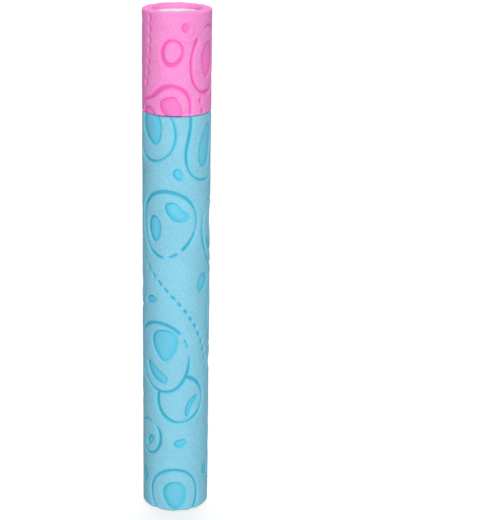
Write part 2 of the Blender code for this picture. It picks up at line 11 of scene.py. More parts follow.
import bmesh
import bpy
from mathutils import Matrix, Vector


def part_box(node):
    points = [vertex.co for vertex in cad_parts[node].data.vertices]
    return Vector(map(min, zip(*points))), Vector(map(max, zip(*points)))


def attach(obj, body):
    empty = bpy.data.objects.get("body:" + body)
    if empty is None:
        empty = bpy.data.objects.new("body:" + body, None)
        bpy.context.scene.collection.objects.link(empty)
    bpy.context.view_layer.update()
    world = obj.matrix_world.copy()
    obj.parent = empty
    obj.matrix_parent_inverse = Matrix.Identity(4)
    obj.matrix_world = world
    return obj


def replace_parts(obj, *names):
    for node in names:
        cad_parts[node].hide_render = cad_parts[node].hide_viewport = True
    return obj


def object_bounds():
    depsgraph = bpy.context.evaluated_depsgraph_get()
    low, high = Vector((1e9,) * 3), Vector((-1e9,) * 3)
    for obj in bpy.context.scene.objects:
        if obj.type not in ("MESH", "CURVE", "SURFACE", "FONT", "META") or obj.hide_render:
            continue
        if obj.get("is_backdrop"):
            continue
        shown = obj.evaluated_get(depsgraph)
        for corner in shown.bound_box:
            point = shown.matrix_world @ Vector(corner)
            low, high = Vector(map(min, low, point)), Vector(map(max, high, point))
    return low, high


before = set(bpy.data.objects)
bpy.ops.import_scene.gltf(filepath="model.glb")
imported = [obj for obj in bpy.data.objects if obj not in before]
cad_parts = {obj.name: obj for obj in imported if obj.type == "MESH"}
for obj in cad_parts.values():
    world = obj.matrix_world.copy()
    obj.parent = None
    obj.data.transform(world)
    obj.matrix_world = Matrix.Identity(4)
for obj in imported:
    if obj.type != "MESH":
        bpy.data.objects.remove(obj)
size_at_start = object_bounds()

MM = 0.001
print("nodes:", ", ".join(sorted(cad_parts)))

# %% [markdown]
# ## Sizes that come from the pump
#
# The foam is glued round a tube, so its size isn't free. It could be typed in again here, but then a change
# to the pump would leave the foam behind. Every size that the pump already has is read from it instead. A
# sheet that is rolled into a sleeve is as wide as the sleeve is round.

# %% Read the sizes
SLEEVE_FIT = 0.3 * MM

body_low, body_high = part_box("body_foam")
handle_low, handle_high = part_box("handle_foam")
foam_radius = body_high.x
bore_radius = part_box("barrel_tube")[1].x + SLEEVE_FIT
sheet_width = math.tau * foam_radius
body_length = body_high.z - body_low.z
handle_length = handle_high.z - handle_low.z
for name, size in (("width", sheet_width), ("body length", body_length), ("handle length", handle_length)):
    print(f"sheet {name}: {size / MM:.1f} mm")


# %% [markdown]
# ## Small helpers for node trees
#
# Node trees are easier to read when one line makes one node. The first helper makes a node, sets it up
# and feeds its inputs, each with a plain value or with another node's output.

# %% Node helpers
def add_node(tree, kind, inputs=None, **settings):
    """One node, its settings, and its inputs by name or number."""
    made = tree.nodes.new(kind)
    for name, value in settings.items():
        setattr(made, name, value)
    for name, value in (inputs or {}).items():
        if isinstance(value, bpy.types.NodeSocket):
            tree.links.new(value, made.inputs[name])
        else:
            made.inputs[name].default_value = value
    return made


def maths(tree, operation, *values):
    return add_node(tree, "ShaderNodeMath", dict(enumerate(values)), operation=operation).outputs[0]


def ramp(tree, value, start, end, low=0.0, high=1.0, shape="SMOOTHSTEP"):
    """A value that goes from low to high as the input goes from start to end."""
    inputs = {"Value": value, "From Min": start, "From Max": end, "To Min": low, "To Max": high}
    return add_node(tree, "ShaderNodeMapRange", inputs, interpolation_type=shape).outputs[0]


def shape_tree(name, sockets):
    """An empty Geometry Nodes tree with these inputs and one geometry output, and both ends of it."""
    tree = bpy.data.node_groups.new(name, "GeometryNodeTree")
    for socket, kind in sockets.items():
        tree.interface.new_socket(socket, in_out="INPUT", socket_type="NodeSocket" + kind)
    tree.interface.new_socket("Geometry", in_out="OUTPUT", socket_type="NodeSocketGeometry")
    source = tree.nodes.new("NodeGroupInput")
    target = tree.nodes.new("NodeGroupOutput")
    print(name, "takes", len(sockets), "inputs")
    return tree, source.outputs, target.inputs


# %% [markdown]
# ## Drawing the pattern
#
# The foam carries an all-over pattern of bubbles. Each bubble is a loop drawn as with a brush, often left
# open for a little way, with hollows inside it shaped like eggs, beans and drops. Loose lines and dashed
# lines wander between the bubbles. All of it is drawn flat: u goes across the sheet and v goes up it, in
# millimetres from the lower left corner, so the middle of the front is half a sheet in from the left.
# Tracing hundreds of points by hand would do too, but one formula gives every outline: an oval that can
# be filled out at one end, bent into a bean or pushed towards three sides.

# %% Shapes on the flat sheet
OUTLINE_STEPS = 40
# Below 1, this fills out the sides of a bean
BEAN_FULLNESS = 0.62


def set_down(x, y, u, v, turn):
    """A point of a shape, once the shape is turned and set down on the sheet."""
    c, s = math.cos(math.radians(turn)), math.sin(math.radians(turn))
    return u + x * c - y * s, v + x * s + y * c


def blob(u, v, width, length, turn=0, egg=0.0, curl=0, lobe=0.0, phase=0.0, start=0, sweep=360):
    """Outline of an oval. Egg fills out its upper end, curl bends it and lobe makes it three-sided."""
    points = []
    # An open outline needs its last point too
    for step in range(OUTLINE_STEPS + (sweep < 360)):
        angle = math.radians(start + sweep * step / OUTLINE_STEPS)
        swell = 1 + lobe * math.sin(3 * angle + phase)
        across = math.cos(angle)
        if curl:
            across = math.copysign(abs(across) ** BEAN_FULLNESS, across)
        x = swell * across * (1 + egg * math.sin(angle)) * width / 2
        y = swell * math.sin(angle) * length / 2
        if curl:
            reach = length / math.radians(curl)
            x, y = reach - (reach - x) * math.cos(y / reach), (reach - x) * math.sin(y / reach)
        points.append(set_down(x, y, u, v, turn))
    return points


print("a closed outline has", len(blob(u=0, v=0, width=1, length=1)), "points")

# %% Bubbles and what is in them
# Gaps in a loop, in degrees: a plain one, one with a bead in it, and one where another bubble is in front
OPEN = 34
BEADED = 46
BEHIND = 84
BEAD = 14
WOBBLE = 0.012

# A hollow: its middle, width and length as shares of the bubble's, then its turn, egg, curl and lobe
YOLK = [(0.02, 0.0, 0.5, 0.54, 0, 0.18, 0, 0.0)]
TWIN = [(0.13, 0.17, 0.46, 0.46, -14, 0.2, 0, 0.03), (-0.17, -0.2, 0.19, 0.42, 36, -0.12, 50, 0.0)]
MOON = [(-0.24, 0.02, 0.15, 0.54, 0, -0.08, -80, 0.0)]
BUD = [(0.1, -0.08, 0.24, 0.4, -35, 0.16, 60, 0.0)]
PAIR = [(0.12, 0.2, 0.25, 0.42, 68, 0.22, 95, 0.0), (-0.2, -0.12, 0.26, 0.4, 18, 0.15, 0, 0.0)]
EMPTY = []


def bubble_lines(rows):
    """Closed rings, open arcs and hollows of bubbles that are given by place, size, gap and filling."""
    rings, arcs, hollows = [], [], []
    for u, v, width, length, turn, egg, gap, filling in rows:
        outline = dict(u=u, v=v, width=width, length=length, turn=turn, egg=egg, lobe=WOBBLE, phase=u)
        if gap is None:
            rings.append(blob(**outline))
        else:
            middle, missing = gap
            arcs.append(blob(**outline, start=middle + missing / 2, sweep=360 - missing))
            if missing == BEADED:
                arcs.append(blob(**outline, start=middle - BEAD / 2, sweep=BEAD))
        for x, y, wide, long, tilt, *form in filling:
            place = set_down(x * width, y * length, u, v, turn)
            hollows.append(blob(*place, wide * width, long * length, turn + tilt, *form))
    return rings, arcs, hollows


# %% Pattern of the body
# Bubbles: middle, width, length, turn, egg, (direction, width) of the gap, filling
body_bubbles = [
    (46, 240, 30, 40, 18, -0.12, None, YOLK),
    (57, 183, 36, 40, -14, 0.1, (300, BEADED), PAIR),
    (92, 175, 22, 42, 8, 0.08, (120, OPEN), TWIN),
    (53, 100, 37, 44, 16, 0.1, (12, BEADED), TWIN),
    (66, 74, 30, 30, 150, 0.0, (-31, BEHIND), MOON),
    (43, 47, 20, 22, -10, 0.0, (70, OPEN), BUD),
    (62, 10, 31, 35, 8, 0.08, None, YOLK),
    (102, 118, 22, 34, -12, -0.15, None, YOLK),
    (27, 142, 23, 30, 10, 0.1, (150, OPEN), BUD),
    (11, 212, 30, 38, -15, 0.1, (40, BEADED), TWIN),
    (113, 224, 20, 22, 0, 0.0, (200, OPEN), MOON),
    (119, 158, 24, 30, 15, 0.1, None, YOLK),
    (9, 166, 20, 22, 0, 0.0, (100, OPEN), BUD),
    (13, 108, 32, 40, -10, 0.12, (300, BEADED), PAIR),
    (115, 74, 28, 38, 12, 0.1, (160, BEADED), TWIN),
    (12, 56, 25, 32, 10, -0.1, None, YOLK),
    (112, 25, 24, 28, 0, 0.0, (250, OPEN), MOON),
    (11, 12, 28, 34, -12, 0.1, (60, OPEN), TWIN),
]
# Lone hollows: middle, width, length, turn, egg, curl
body_drops = [
    (83, 229, 11, 26, -14, 0.0, 30),
    (64, 213, 6, 8, 30, 0.2, 0),
    (81, 146, 9, 12, -25, 0.25, 0),
    (46, 136, 9, 5, 12, 0.0, 0),
    (31, 71, 6, 8, 35, 0.3, 0),
    (66, 45, 9, 6, 12, 0.1, 0),
    (38, 19, 8, 12, -15, 0.2, 0),
    (85, 24, 6, 9, 20, 0.1, 0),
    (94, 92, 7, 9, 30, 0.2, 0),
    (34, 186, 6, 9, 10, 0.2, 0),
    (114, 200, 7, 9, 20, 0.2, 0),
    (8, 141, 8, 6, 10, 0.0, 0),
    (19, 81, 9, 6, 15, 0.0, 0),
    (96, 54, 7, 9, -15, 0.2, 0),
]
body_strokes = [
    [(71, 252), (73, 240), (67, 228), (70, 212), (82, 207), (94, 211), (99, 226), (94, 240), (96, 252)],
    [(100, 154), (93, 147), (88, 137), (86, 127), (86, 117)],
    [(96, 43), (91, 34), (96, 20), (93, 8), (96, -5)],
    [(37, 212), (32, 204), (35, 195)],
    [(29, 62), (30, 48), (27, 36), (30, 20), (28, 8), (30, -5)],
]
body_dashes = [
    [(40, 160), (50, 149), (62, 138), (74, 124), (82, 107), (85, 92)],
    [(28, 250), (27, 238), (30, 226), (30, 214)],
    [(91, 82), (92, 68), (86, 54), (89, 38)],
    [(123, 186), (114, 186), (107, 192), (104, 203)],
    [(31, 172), (24, 180), (12, 184), (2, 184)],
    [(122, 142), (118, 130), (119, 114), (115, 100)],
    [(123, 50), (112, 49), (103, 45)],
]
print(len(body_bubbles), "bubbles and", len(body_drops), "lone hollows on the body")

# %% Pattern of the handle
handle_bubbles = [
    (60, 36, 12, 14, -20, 0.14, None, EMPTY),
    (84, 31, 25, 38, -8, 0.0, (130, OPEN), YOLK),
    (17, 31, 27, 36, 12, 0.1, (40, OPEN), TWIN),
    (114, 38, 19, 22, 0, 0.0, (110, OPEN), MOON),
]
handle_drops = [
    (68, 50, 5, 6, 15, 0.1, 0),
    (60, 4, 12, 15, 40, 0.25, 40),
    (44, 0, 11, 9, -10, 0.0, 0),
    (106, 10, 9, 13, 30, 0.2, 0),
    (32, 52, 5, 7, 20, 0.1, 0),
]
handle_strokes = [
    [(33, -4), (36, 8), (46, 8), (53, 17), (64, 18), (72, 11), (71, 2)],
]
handle_dashes = [
    [(45, 61), (46, 48), (45, 34), (42, 18)],
    [(78, 8), (81, -4)],
    [(100, 61), (99, 46), (101, 32), (99, 18)],
    [(121, 21), (118, 8), (119, -4)],
]
print(len(handle_bubbles), "bubbles and", len(handle_drops), "lone hollows on the handle")

# %% [markdown]
# ## Cutting the die
#
# A die is cut with one tool, so its lines follow a few rules rather than being drawn one by one. A groove
# is a line with a round tool's width, which wanders a little as a brush stroke does. A dash is a short
# line of its own, set at a steady pitch. A hollow is the whole area inside its outline. Geometry Nodes
# states each rule once, for every line. The lines stay thin edges here that only remember their half
# width: the press works out the rest, and lines that meet then join without a seam.

# %% Tree of the die
die_tree, given, result = shape_tree("embossing_die", {
    "Grooves": "Object",
    "Dashes": "Object",
    "Hollows": "Object",
    "Step": "Float",
    "Groove width": "Float",
    "Thin share": "Float",
    "Wander length": "Float",
    "Dash pitch": "Float",
    "Dash length": "Float",
    "Dash width": "Float",
})


def object_shape(tree, socket):
    return add_node(tree, "GeometryNodeObjectInfo", {"Object": socket}).outputs["Geometry"]


def stored(tree, shape, name, value, kind):
    return add_node(
        tree, "GeometryNodeStoreNamedAttribute", {"Geometry": shape, "Name": name, "Value": value},
        data_type=kind, domain="POINT",
    ).outputs[0]


def edge_line(tree, curve):
    """A curve as bare mesh edges."""
    return add_node(tree, "GeometryNodeCurveToMesh", {"Curve": curve}).outputs[0]


def half_of(tree, value):
    return maths(tree, "MULTIPLY", value, 0.5)


# %% Grooves of the die
# Nearly all the values of a noise texture lie between these two
MOST_NOISE = (0.3, 0.7)
fine_line = add_node(
    die_tree, "GeometryNodeResampleCurve",
    {"Curve": object_shape(die_tree, given["Grooves"]), "Length": given["Step"]}, mode="LENGTH",
).outputs[0]
wander_scale = maths(die_tree, "DIVIDE", 1.0, given["Wander length"])
wander = add_node(die_tree, "ShaderNodeTexNoise", {"Scale": wander_scale, "Detail": 0.0}).outputs["Fac"]
brush = ramp(die_tree, wander, *MOST_NOISE, given["Thin share"], 1.0)
brush_half = maths(die_tree, "MULTIPLY", half_of(die_tree, given["Groove width"]), brush)
grooves = edge_line(die_tree, stored(die_tree, fine_line, "half_width", brush_half, "FLOAT"))
print("with grooves:", len(die_tree.nodes), "nodes")

# %% Dashes of the die
spaced = add_node(
    die_tree, "GeometryNodeResampleCurve",
    {"Curve": object_shape(die_tree, given["Dashes"]), "Length": given["Dash pitch"]}, mode="LENGTH",
).outputs[0]
dash_end = half_of(die_tree, maths(die_tree, "SUBTRACT", given["Dash length"], given["Dash width"]))
dash_start = maths(die_tree, "MULTIPLY", dash_end, -1.0)
dash = edge_line(die_tree, add_node(die_tree, "GeometryNodeCurvePrimitiveLine", {
    "Start": add_node(die_tree, "ShaderNodeCombineXYZ", {"X": dash_start}).outputs[0],
    "End": add_node(die_tree, "ShaderNodeCombineXYZ", {"X": dash_end}).outputs[0],
}).outputs[0])
dash = stored(die_tree, dash, "half_width", half_of(die_tree, given["Dash width"]), "FLOAT")
along_line = add_node(
    die_tree, "FunctionNodeAlignRotationToVector",
    {"Vector": add_node(die_tree, "GeometryNodeInputTangent").outputs[0]}, axis="X",
).outputs[0]
dashes = add_node(
    die_tree, "GeometryNodeInstanceOnPoints", {"Points": spaced, "Instance": dash, "Rotation": along_line}
).outputs[0]
print("with dashes:", len(die_tree.nodes), "nodes")

# %% Hollows of the die
floors = add_node(
    die_tree, "GeometryNodeFillCurve", {"Curve": object_shape(die_tree, given["Hollows"])}, mode="NGONS"
).outputs[0]
joined = die_tree.nodes.new("GeometryNodeJoinGeometry")
for part in (grooves, dashes, floors):
    die_tree.links.new(part, joined.inputs[0])
die_steel = bpy.data.materials.new("die_steel")


def finish_tree(tree, target, shape, material):
    """Ends a tree: every instance becomes real and gets its material."""
    shape = add_node(tree, "GeometryNodeRealizeInstances", {"Geometry": shape}).outputs[0]
    shape = add_node(tree, "GeometryNodeSetMaterial", {"Geometry": shape, "Material": material}).outputs[0]
    tree.links.new(shape, target["Geometry"])
    print(tree.name, "has", len(tree.nodes), "nodes")


finish_tree(die_tree, result, joined.outputs[0], die_steel)

# %% Drawings as curves
STROKE_ORDER = 4
STROKE_STEPS = 12


def linked(name, data):
    made = bpy.data.objects.new(name, data)
    bpy.context.scene.collection.objects.link(made)
    return made


def drawn(name, rings=(), arcs=(), strokes=()):
    """A flat curve object. Rings and arcs are drawn as given, and strokes as one smooth sweep."""
    curve = bpy.data.curves.new(name, "CURVE")
    curve.dimensions = "3D"
    kinds = ["ring"] * len(rings) + ["arc"] * len(arcs) + ["stroke"] * len(strokes)
    for kind, points in zip(kinds, (*rings, *arcs, *strokes)):
        spline = curve.splines.new("NURBS" if kind == "stroke" else "POLY")
        spline.points.add(len(points) - 1)
        for place, (u, v) in zip(spline.points, points):
            place.co = (u * MM, v * MM, 0.0, 1.0)
        spline.use_cyclic_u = kind == "ring"
        if kind == "stroke":
            spline.order_u = min(STROKE_ORDER, len(points))
            spline.use_endpoint_u = True
            spline.resolution_u = STROKE_STEPS
    return linked(name, curve)


# %% Cut both dies
DIE_RULES = {
    "Step": 0.6 * MM,
    "Thin share": 0.58,
    "Wander length": 16.0 * MM,
    "Dash pitch": 5.6 * MM,
    "Dash length": 4.2 * MM,
    "Dash width": 2.4 * MM,
}
BODY_GROOVE = 2.8 * MM
HANDLE_GROOVE = 3.3 * MM


def plain_mesh(carrier, tree, values):
    """The mesh that a tree makes on a carrier object, which is then thrown away."""
    modifier = carrier.modifiers.new(tree.name, "NODES")
    modifier.node_group = tree
    for item in tree.interface.items_tree:
        if item.name in values and item.in_out == "INPUT":
            modifier[item.identifier] = values[item.name]
    bpy.context.view_layer.update()
    graph = bpy.context.evaluated_depsgraph_get()
    mesh = bpy.data.meshes.new_from_object(carrier.evaluated_get(graph))
    bpy.data.objects.remove(carrier)
    return mesh


def cut_die(name, groove_width, bubbles, drops, strokes, dash_rows):
    """A flat mesh of everything that the die presses in."""
    rings, arcs, hollows = bubble_lines(bubbles)
    hollows += [blob(*drop) for drop in drops]
    drawings = {
        "Grooves": drawn(name + "_grooves", rings, arcs, strokes),
        "Dashes": drawn(name + "_dashes", strokes=dash_rows),
        "Hollows": drawn(name + "_hollows", rings=hollows),
    }
    carrier = linked(name, bpy.data.meshes.new(name))
    mesh = plain_mesh(carrier, die_tree, DIE_RULES | drawings | {"Groove width": groove_width})
    for drawing in drawings.values():
        bpy.data.objects.remove(drawing)
    print(name, len(mesh.polygons), "hollows,", len(mesh.edges), "edges")
    return linked(name, mesh)


body_die = cut_die("body_die", BODY_GROOVE, body_bubbles, body_drops, body_strokes, body_dashes)
handle_die = cut_die(
    "handle_die", HANDLE_GROOVE, handle_bubbles, handle_drops, handle_strokes, handle_dashes
)

# %% [markdown]
# ## Pressing and rolling the foam
#
# A hot die presses the pattern into the foam. A picture of the pattern could drive a displacement, but its
# edges would be as soft as its pixels. Here each sleeve starts as a plain tube of small square cells. Every
# point knows its place on the flat sheet, so the tree can ask how far inside the die's nearest shape it is.
# Points close to an edge slide onto it, which keeps the edges crisp. Inside an edge the foam is pressed
# down a short steep wall, and a wide hollow swells up again towards its middle, because foam springs back
# where the die doesn't hold it. At the foot of a hollow's wall the foam is pressed into a deeper crease,
# most on its left side, and the finish gives that crease a darker colour, which is painted shade. The
# sheet's two ends meet at the back in a shallow seam, and its cut ends are never quite straight. Last,
# each cell is split along the diagonal that bends least, or edges would show teeth.

# %% Tree of the press
press_tree, given, result = shape_tree("press_and_roll", {
    "Geometry": "Geometry",
    "Die": "Object",
    "Foam": "Material",
    "Radius": "Float",
    "Length": "Float",
    "Snap": "Float",
    "Depth": "Float",
    "Wall": "Float",
    "Swell from": "Float",
    "Swell to": "Float",
    "Crease": "Float",
    "Soft crease": "Float",
    "Groove press": "Float",
    "Rim press": "Float",
    "Middle press": "Float",
    "Shoulder": "Float",
    "Shoulder reach": "Float",
    "Ripple": "Float",
    "Ripple size": "Float",
    "Seam depth": "Float",
    "Seam half width": "Float",
    "Foot wander": "Float",
    "Top wander": "Float",
    "Wander size": "Float",
    "End reach": "Float",
})


# %% Nodes of the press
def press_maths(operation, *values):
    return maths(press_tree, operation, *values)


def vectors(operation, output="Vector", **values):
    names = {"a": 0, "b": 1, "scale": "Scale"}
    inputs = {names[name]: value for name, value in values.items()}
    return add_node(press_tree, "ShaderNodeVectorMath", inputs, operation=operation).outputs[output]


def parts_of(vector):
    return add_node(press_tree, "ShaderNodeSeparateXYZ", {0: vector}).outputs


def joined_parts(**parts):
    return add_node(press_tree, "ShaderNodeCombineXYZ", parts).outputs[0]


def remembered(name, kind="FLOAT"):
    """A value that the points carry under this name."""
    inputs = {"Name": name}
    return add_node(press_tree, "GeometryNodeInputNamedAttribute", inputs, data_type=kind).outputs[0]


def nearest(shape, place, element):
    inputs = {"Geometry": shape, "Sample Position": place}
    return add_node(press_tree, "GeometryNodeProximity", inputs, target_element=element).outputs


def soft_noise(place, size):
    inputs = {"Vector": place, "Scale": press_maths("DIVIDE", 1.0, size), "Detail": 1.0}
    return add_node(press_tree, "ShaderNodeTexNoise", inputs).outputs["Fac"]


# %% Lines and rims of the die
die_shape = object_shape(press_tree, given["Die"])


def edges_with(faces):
    """The die's edges that have this many faces beside them: 0 for lines, 1 for the rims of hollows."""
    beside = add_node(press_tree, "GeometryNodeInputMeshEdgeNeighbors").outputs[0]
    settings = {"data_type": "INT", "operation": "EQUAL"}
    chosen = add_node(press_tree, "FunctionNodeCompare", {2: beside, 3: faces}, **settings).outputs[0]
    inputs = {"Geometry": die_shape, "Selection": chosen}
    return add_node(press_tree, "GeometryNodeSeparateGeometry", inputs, domain="EDGE").outputs[0]


die_lines = edges_with(0)
die_rims = edges_with(1)
print("to sort the die's edges:", len(press_tree.nodes), "nodes")

# %% Reach of the die
# What is nearer than this touches
HAIR = 0.001 * MM


def sheet_place():
    """Place on the flat sheet, and the share of the press that reaches the point."""
    u, v, skin = parts_of(remembered("sheet", "FLOAT_VECTOR"))
    return joined_parts(X=u, Y=v), u, v, skin


def die_reach(flat):
    """How far a place is inside a line and inside a hollow, and the way to the nearest edge."""
    line = nearest(die_lines, flat, "EDGES")
    inputs = {"Geometry": die_lines, "Sample Position": line["Position"]}
    point = add_node(press_tree, "GeometryNodeSampleNearest", inputs).outputs[0]
    inputs = {"Geometry": die_lines, "Value": remembered("half_width"), "Index": point}
    half_width = add_node(press_tree, "GeometryNodeSampleIndex", inputs).outputs[0]
    in_line = press_maths("SUBTRACT", half_width, line["Distance"])
    outwards = vectors("NORMALIZE", a=vectors("SUBTRACT", a=flat, b=line["Position"]))
    line_way = vectors("SCALE", a=outwards, scale=in_line)

    rim = nearest(die_rims, flat, "EDGES")
    # The distance to a rim counts as positive inside the hollow and as negative outside it
    over_floor = press_maths("LESS_THAN", nearest(die_shape, flat, "FACES")["Distance"], HAIR)
    in_hollow = press_maths("MULTIPLY", rim["Distance"], press_maths("MULTIPLY_ADD", over_floor, 2.0, -1.0))
    hollow_way = vectors("SUBTRACT", a=rim["Position"], b=flat)

    line_wins = press_maths("GREATER_THAN", in_line, in_hollow)
    inputs = {"Factor": line_wins, 4: hollow_way, 5: line_way}
    way = add_node(press_tree, "ShaderNodeMix", inputs, data_type="VECTOR").outputs[1]
    return in_line, in_hollow, way


# %% Slide points onto the die's edges
# Points that get at least this share of the press are on the outer skin
WHOLE_PRESS = 0.999
flat, u, v, skin = sheet_place()
in_line, in_hollow, way = die_reach(flat)
inside = press_maths("MAXIMUM", in_line, in_hollow)
on_skin = press_maths("GREATER_THAN", skin, WHOLE_PRESS)


def near(distance):
    """1 for the points that are within about half a cell of being this far inside an edge."""
    off = press_maths("ABSOLUTE", press_maths("SUBTRACT", inside, distance))
    return press_maths("LESS_THAN", off, given["Snap"])


# The whole way leads to the edge, and a share of it to the foot of the wall
to_foot = press_maths("SUBTRACT", 1.0, press_maths("DIVIDE", given["Wall"], inside))
way_share = press_maths("MULTIPLY_ADD", near(given["Wall"]), to_foot, near(0.0))
slide = vectors("SCALE", a=way, scale=press_maths("MULTIPLY", way_share, on_skin))
lift = joined_parts(Z=parts_of(slide)["Y"])
inputs = {"Geometry": given["Geometry"], "Offset": lift}
shape = add_node(press_tree, "GeometryNodeSetPosition", inputs).outputs[0]
slid_u, slid_v, _ = parts_of(vectors("ADD", a=flat, b=slide))
shape = stored(press_tree, shape, "sheet", joined_parts(X=slid_u, Y=slid_v, Z=skin), "FLOAT_VECTOR")
print("after sliding:", len(press_tree.nodes), "nodes")

# %% Press the foam
# Hollows are creased most where the way to their rim goes left, and least where it goes right
CREASED_WAY = (-1.0, 0.2, 0.0)
CREASED_RANGE = (-0.6, 0.6)
flat, u, v, skin = sheet_place()
in_line, in_hollow, way = die_reach(flat)
lean = vectors("DOT_PRODUCT", "Value", a=vectors("NORMALIZE", a=way), b=CREASED_WAY)
crease_depth = ramp(press_tree, lean, *CREASED_RANGE, given["Soft crease"], given["Crease"])
foot, swell_from, swell_to = given["Wall"], given["Swell from"], given["Swell to"]
groove = ramp(press_tree, in_line, 0.0, foot, 0.0, given["Groove press"], "LINEAR")
wall = ramp(press_tree, in_hollow, 0.0, foot, 0.0, 1.0, "LINEAR")
swell = ramp(press_tree, in_hollow, swell_from, swell_to, given["Rim press"], given["Middle press"])
# The crease deepens the foam, and its press value also brings in the painted crease shade, darkest on the
# left
crease = ramp(press_tree, in_hollow, foot, swell_from, crease_depth, 0.0, "LINEAR")
hollow = press_maths("MULTIPLY", wall, press_maths("ADD", swell, crease))
under_die = press_maths("MAXIMUM", press_maths("MAXIMUM", groove, hollow), 0.0)
outside = press_maths("MULTIPLY", press_maths("MAXIMUM", in_line, in_hollow), -1.0)
shoulder = ramp(press_tree, outside, 0.0, given["Shoulder reach"], given["Shoulder"], 0.0)
die_share = press_maths("SUBTRACT", 1.0, given["Shoulder"])
pressed = press_maths("MULTIPLY", press_maths("MULTIPLY_ADD", under_die, die_share, shoulder), skin)
shape = stored(press_tree, shape, "press", pressed, "FLOAT")
print("after pressing:", len(press_tree.nodes), "nodes")

# %% Let the foam settle
# Noise at this value leaves the skin where it was
LEVEL_NOISE = 0.35
width = press_maths("MULTIPLY", given["Radius"], math.tau)
from_seam = press_maths("MINIMUM", u, press_maths("SUBTRACT", width, u))
seam = ramp(press_tree, from_seam, 0.0, given["Seam half width"], given["Seam depth"], 0.0, "LINEAR")
place = add_node(press_tree, "GeometryNodeInputPosition").outputs[0]
dent = press_maths("SUBTRACT", soft_noise(place, given["Ripple size"]), LEVEL_NOISE)
slack = press_maths("MULTIPLY_ADD", dent, given["Ripple"], seam)
die_depth = press_maths("MULTIPLY", remembered("press"), given["Depth"])
depth = press_maths("MULTIPLY_ADD", slack, skin, die_depth)
print("after settling:", len(press_tree.nodes), "nodes")

# %% Roll the sheet up
# The seam is at the back, a quarter turn from the right
SEAM_TURN = math.pi / 2
# Noise below this value leaves a cut end straight
STRAIGHT_NOISE = 0.42
x, y, z = parts_of(place)
plain_radius = vectors("LENGTH", "Value", a=joined_parts(X=x, Y=y))
radius = press_maths("SUBTRACT", plain_radius, depth)
turn = press_maths("ADD", press_maths("DIVIDE", u, given["Radius"]), SEAM_TURN)
near_foot = ramp(press_tree, v, 0.0, given["End reach"], given["Foot wander"], 0.0)
top_start = press_maths("SUBTRACT", given["Length"], given["End reach"])
near_top = ramp(press_tree, v, top_start, given["Length"], 0.0, given["Top wander"])
past_level = press_maths("SUBTRACT", soft_noise(place, given["Wander size"]), STRAIGHT_NOISE)
short = press_maths("MAXIMUM", past_level, 0.0)
shift = press_maths("MULTIPLY", short, press_maths("SUBTRACT", near_foot, near_top))
rolled = joined_parts(
    X=press_maths("MULTIPLY", radius, press_maths("COSINE", turn)),
    Y=press_maths("MULTIPLY", radius, press_maths("SINE", turn)),
    Z=press_maths("ADD", z, shift),
)
shape = add_node(press_tree, "GeometryNodeSetPosition", {"Geometry": shape, "Position": rolled}).outputs[0]
shape = add_node(press_tree, "GeometryNodeTriangulate", {"Mesh": shape}, quad_method="BEAUTY").outputs[0]
shape = add_node(press_tree, "GeometryNodeSetShadeSmooth", {"Geometry": shape}).outputs[0]
finish_tree(press_tree, result, shape, given["Foam"])

# %% Section of a sleeve
COLUMNS = 216
CELL = sheet_width / COLUMNS
CORNER_STEPS = 4
FACE_STEPS = 4
BORE_STEPS = 8


def corner(radius, height, size, from_angle):
    """Points of a quarter round whose middle is at this radius and height."""
    points = []
    for step in range(CORNER_STEPS + 1):
        angle = math.radians(from_angle + 90 * step / CORNER_STEPS)
        points.append((radius + size * math.cos(angle), height + size * math.sin(angle)))
    return points


def between(start, end, steps):
    """Points on a straight stretch, without its two ends."""
    shares = [step / steps for step in range(1, steps)]
    return [(start[0] + (end[0] - start[0]) * s, start[1] + (end[1] - start[1]) * s) for s in shares]


def sleeve_rows(length, foot_round, top_round, bore_round):
    """Section of the sleeve's wall, from the bore at the foot, round the outside and back down the bore."""
    inner = bore_radius + bore_round
    corners = [
        corner(inner, bore_round, bore_round, 180),
        corner(foam_radius - foot_round, foot_round, foot_round, 270),
        corner(foam_radius - top_round, length - top_round, top_round, 0),
        corner(inner, length - bore_round, bore_round, 90),
    ]
    side_steps = round((length - foot_round - top_round) / CELL)
    rows = []
    for number, steps in enumerate((FACE_STEPS, side_steps, FACE_STEPS, BORE_STEPS)):
        following = corners[(number + 1) % len(corners)]
        rows += corners[number] + between(corners[number][-1], following[0], steps)
    return rows


print(f"cells of {CELL / MM:.2f} mm, {COLUMNS} round a sleeve")


# %% Plain sleeve before the press
def plain_sleeve(name, rows, foot):
    """A tube of square cells whose points remember their place on the sheet."""
    wall = foam_radius - bore_radius
    points, sheet = [], []
    for radius, height in rows:
        for column in range(COLUMNS):
            u = sheet_width * column / COLUMNS
            turn = SEAM_TURN + u / foam_radius
            points.append((radius * math.cos(turn), radius * math.sin(turn), foot + height))
            # The third value is the share of the press: none at the bore, and all of it on the outside
            sheet += [u, height, (radius - bore_radius) / wall]
    faces = []
    for row in range(len(rows)):
        above = (row + 1) % len(rows)
        for column in range(COLUMNS):
            beside = (column + 1) % COLUMNS
            faces.append((row * COLUMNS + column, row * COLUMNS + beside,
                          above * COLUMNS + beside, above * COLUMNS + column))
    mesh = bpy.data.meshes.new(name)
    mesh.from_pydata(points, [], faces)
    mesh.attributes.new("sheet", "FLOAT_VECTOR", "POINT").data.foreach_set("vector", sheet)
    print(name, len(faces), "cells")
    return linked(name, mesh)


# %% [markdown]
# ## What foam looks like
#
# The foam is closed-cell: a skin of tiny bubbles with no shine to speak of. Its raised parts look pale
# and grainy. Where the die has squeezed the bubbles flat the colour is deeper and the grain is gone. Marks
# that are painted on by hand never quite meet the edges of the grooves. Here the press has left a value on
# every point, and the shader goes from one colour to the other by it. In the deepest creases and at the
# bottom of the grooves a third, darker colour takes over: painted crease shade on the densest foam. The
# grain is a group of nodes, because both foams share it.

# %% Foam grain
GRAIN_SIZE = 0.9 * MM
GRAIN_DETAIL = 2.0
GRAIN_HARSHNESS = 0.6
BLOTCH_SHARE = 0.06


